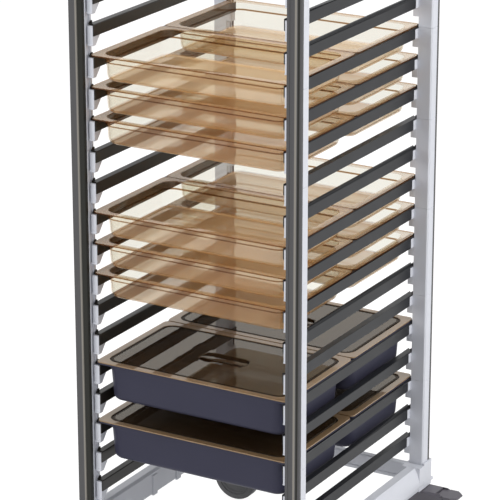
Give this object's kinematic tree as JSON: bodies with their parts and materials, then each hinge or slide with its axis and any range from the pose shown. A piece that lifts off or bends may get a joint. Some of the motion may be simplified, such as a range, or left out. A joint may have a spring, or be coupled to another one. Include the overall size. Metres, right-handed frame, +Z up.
{
  "type": "food container rack cart",
  "caption": "Tall open rolling rack with plastic posts, black slide rails on clips, swivel casters and full-width food pans that slide in from both ends.",
  "frame": {"origin": "on the floor, under the middle of the rack", "axes": "+Z up, +X across the cart to its right, +Y from front to rear"},
  "size_m": [0.812, 0.732, 1.6526],
  "materials": {
    "cover_metal": "satin grey",
    "pale_plastic": "smooth moulded",
    "rail_plastic": "satin moulded",
    "caster_plastic": "fine moulded",
    "wheel_rubber": "matte",
    "steel": "zinc plated",
    "amber_plastic": "translucent amber",
    "dark_plastic": "smoky translucent",
    "lid_plastic": "translucent amber brown"
  },
  "bodies": {
    "frame": {"left_rails": "rail_plastic", "base_side_beam_left": "pale_plastic", "right_rails": "rail_plastic", "base_side_beam_right": "pale_plastic", "post_cover_front_left": "cover_metal", "post_modules_front_left": "pale_plastic", "rail_clips_front_left": "pale_plastic", "base_corner_front_left": "pale_plastic", "top_corner_front_left": "pale_plastic", "post_cover_rear_left": "cover_metal", "post_modules_rear_left": "pale_plastic", "rail_clips_rear_left": "pale_plastic", "base_corner_rear_left": "pale_plastic", "top_corner_rear_left": "pale_plastic", "post_cover_front_right": "cover_metal", "post_modules_front_right": "pale_plastic", "rail_clips_front_right": "pale_plastic", "base_corner_front_right": "pale_plastic", "top_corner_front_right": "pale_plastic", "post_cover_rear_right": "cover_metal", "post_modules_rear_right": "pale_plastic", "rail_clips_rear_right": "pale_plastic", "base_corner_rear_right": "pale_plastic", "top_corner_rear_right": "pale_plastic", "base_cross_beam_front": "pale_plastic", "base_cross_beam_rear": "pale_plastic", "top_side_beams": "pale_plastic", "top_cross_beams": "pale_plastic", "corner_studs": "pale_plastic", "caster_kingpins": "steel"},
    "caster_fork_front_left": {"caster_fork_front_left": "caster_plastic"},
    "caster_wheel_front_left": {"caster_wheel_front_left": "wheel_rubber"},
    "brake_pedal_front_left": {"brake_pedal_front_left": "caster_plastic"},
    "caster_fork_rear_left": {"caster_fork_rear_left": "caster_plastic"},
    "caster_wheel_rear_left": {"caster_wheel_rear_left": "wheel_rubber"},
    "caster_fork_front_right": {"caster_fork_front_right": "caster_plastic"},
    "caster_wheel_front_right": {"caster_wheel_front_right": "wheel_rubber"},
    "caster_fork_rear_right": {"caster_fork_rear_right": "caster_plastic"},
    "caster_wheel_rear_right": {"caster_wheel_rear_right": "wheel_rubber"},
    "brake_pedal_rear_right": {"brake_pedal_rear_right": "caster_plastic"},
    "amber_pan_08_front": {"amber_pan_08_front": "amber_plastic"},
    "amber_pan_09_front": {"amber_pan_09_front": "amber_plastic"},
    "amber_pan_10_front": {"amber_pan_10_front": "amber_plastic"},
    "amber_pan_13_front": {"amber_pan_13_front": "amber_plastic"},
    "amber_pan_14_front": {"amber_pan_14_front": "amber_plastic"},
    "amber_pan_15_front": {"amber_pan_15_front": "amber_plastic"},
    "dark_pan_03_front": {"dark_pan_03_front": "dark_plastic"},
    "pan_lid_03_front": {"pan_lid_03_front": "lid_plastic"},
    "dark_pan_05_front": {"dark_pan_05_front": "dark_plastic"},
    "pan_lid_05_front": {"pan_lid_05_front": "lid_plastic"},
    "amber_pan_08_rear": {"amber_pan_08_rear": "amber_plastic"},
    "amber_pan_09_rear": {"amber_pan_09_rear": "amber_plastic"},
    "amber_pan_10_rear": {"amber_pan_10_rear": "amber_plastic"},
    "amber_pan_13_rear": {"amber_pan_13_rear": "amber_plastic"},
    "amber_pan_14_rear": {"amber_pan_14_rear": "amber_plastic"},
    "amber_pan_15_rear": {"amber_pan_15_rear": "amber_plastic"},
    "dark_pan_03_rear": {"dark_pan_03_rear": "dark_plastic"},
    "pan_lid_03_rear": {"pan_lid_03_rear": "lid_plastic"},
    "dark_pan_05_rear": {"dark_pan_05_rear": "dark_plastic"},
    "pan_lid_05_rear": {"pan_lid_05_rear": "lid_plastic"}
  },
  "joints": [
    {"name": "swivel_front_left", "type": "hinge", "parent": "frame", "child": "caster_fork_front_left", "pos_m": [-0.288, -0.3235, 0.14], "axis": [0, 0, 1], "continuous": true},
    {"name": "wheel_spin_front_left", "type": "hinge", "parent": "caster_fork_front_left", "child": "caster_wheel_front_left", "pos_m": [-0.328, -0.3235, 0.0625], "axis": [0, 1, 0], "continuous": true},
    {"name": "pedal_front_left", "type": "hinge", "parent": "caster_fork_front_left", "child": "brake_pedal_front_left", "pos_m": [-0.36, -0.3235, 0.1452], "axis": [0, 1, 0], "range_deg": [0, 8]},
    {"name": "swivel_rear_left", "type": "hinge", "parent": "frame", "child": "caster_fork_rear_left", "pos_m": [-0.288, 0.3235, 0.14], "axis": [0, 0, 1], "continuous": true},
    {"name": "wheel_spin_rear_left", "type": "hinge", "parent": "caster_fork_rear_left", "child": "caster_wheel_rear_left", "pos_m": [-0.248, 0.3235, 0.0625], "axis": [0, 1, 0], "continuous": true},
    {"name": "swivel_front_right", "type": "hinge", "parent": "frame", "child": "caster_fork_front_right", "pos_m": [0.288, -0.3235, 0.14], "axis": [0, 0, 1], "continuous": true},
    {"name": "wheel_spin_front_right", "type": "hinge", "parent": "caster_fork_front_right", "child": "caster_wheel_front_right", "pos_m": [0.328, -0.3235, 0.0625], "axis": [0, 1, 0], "continuous": true},
    {"name": "swivel_rear_right", "type": "hinge", "parent": "frame", "child": "caster_fork_rear_right", "pos_m": [0.288, 0.3235, 0.14], "axis": [0, 0, 1], "continuous": true},
    {"name": "wheel_spin_rear_right", "type": "hinge", "parent": "caster_fork_rear_right", "child": "caster_wheel_rear_right", "pos_m": [0.328, 0.3235, 0.0625], "axis": [0, 1, 0], "continuous": true},
    {"name": "pedal_rear_right", "type": "hinge", "parent": "caster_fork_rear_right", "child": "brake_pedal_rear_right", "pos_m": [0.36, 0.3235, 0.1452], "axis": [0, -1, 0], "range_deg": [0, 8]},
    {"name": "slide_amber_pan_08_front", "type": "slide", "parent": "frame", "child": "amber_pan_08_front", "axis": [0, -1, 0], "range_m": [0, 0.35]},
    {"name": "slide_amber_pan_09_front", "type": "slide", "parent": "frame", "child": "amber_pan_09_front", "axis": [0, -1, 0], "range_m": [0, 0.35]},
    {"name": "slide_amber_pan_10_front", "type": "slide", "parent": "frame", "child": "amber_pan_10_front", "axis": [0, -1, 0], "range_m": [0, 0.35]},
    {"name": "slide_amber_pan_13_front", "type": "slide", "parent": "frame", "child": "amber_pan_13_front", "axis": [0, -1, 0], "range_m": [0, 0.35]},
    {"name": "slide_amber_pan_14_front", "type": "slide", "parent": "frame", "child": "amber_pan_14_front", "axis": [0, -1, 0], "range_m": [0, 0.35]},
    {"name": "slide_amber_pan_15_front", "type": "slide", "parent": "frame", "child": "amber_pan_15_front", "axis": [0, -1, 0], "range_m": [0, 0.35]},
    {"name": "slide_dark_pan_03_front", "type": "slide", "parent": "frame", "child": "dark_pan_03_front", "axis": [0, -1, 0], "range_m": [0, 0.35]},
    {"name": "lift_pan_lid_03_front", "type": "slide", "parent": "dark_pan_03_front", "child": "pan_lid_03_front", "axis": [0, 0, 1], "range_m": [0, 0.015]},
    {"name": "slide_dark_pan_05_front", "type": "slide", "parent": "frame", "child": "dark_pan_05_front", "axis": [0, -1, 0], "range_m": [0, 0.35]},
    {"name": "lift_pan_lid_05_front", "type": "slide", "parent": "dark_pan_05_front", "child": "pan_lid_05_front", "axis": [0, 0, 1], "range_m": [0, 0.015]},
    {"name": "slide_amber_pan_08_rear", "type": "slide", "parent": "frame", "child": "amber_pan_08_rear", "axis": [0, 1, 0], "range_m": [0, 0.35]},
    {"name": "slide_amber_pan_09_rear", "type": "slide", "parent": "frame", "child": "amber_pan_09_rear", "axis": [0, 1, 0], "range_m": [0, 0.35]},
    {"name": "slide_amber_pan_10_rear", "type": "slide", "parent": "frame", "child": "amber_pan_10_rear", "axis": [0, 1, 0], "range_m": [0, 0.35]},
    {"name": "slide_amber_pan_13_rear", "type": "slide", "parent": "frame", "child": "amber_pan_13_rear", "axis": [0, 1, 0], "range_m": [0, 0.35]},
    {"name": "slide_amber_pan_14_rear", "type": "slide", "parent": "frame", "child": "amber_pan_14_rear", "axis": [0, 1, 0], "range_m": [0, 0.35]},
    {"name": "slide_amber_pan_15_rear", "type": "slide", "parent": "frame", "child": "amber_pan_15_rear", "axis": [0, 1, 0], "range_m": [0, 0.35]},
    {"name": "slide_dark_pan_03_rear", "type": "slide", "parent": "frame", "child": "dark_pan_03_rear", "axis": [0, 1, 0], "range_m": [0, 0.35]},
    {"name": "lift_pan_lid_03_rear", "type": "slide", "parent": "dark_pan_03_rear", "child": "pan_lid_03_rear", "axis": [0, 0, 1], "range_m": [0, 0.015]},
    {"name": "slide_dark_pan_05_rear", "type": "slide", "parent": "frame", "child": "dark_pan_05_rear", "axis": [0, 1, 0], "range_m": [0, 0.35]},
    {"name": "lift_pan_lid_05_rear", "type": "slide", "parent": "dark_pan_05_rear", "child": "pan_lid_05_rear", "axis": [0, 0, 1], "range_m": [0, 0.015]}
  ]
}
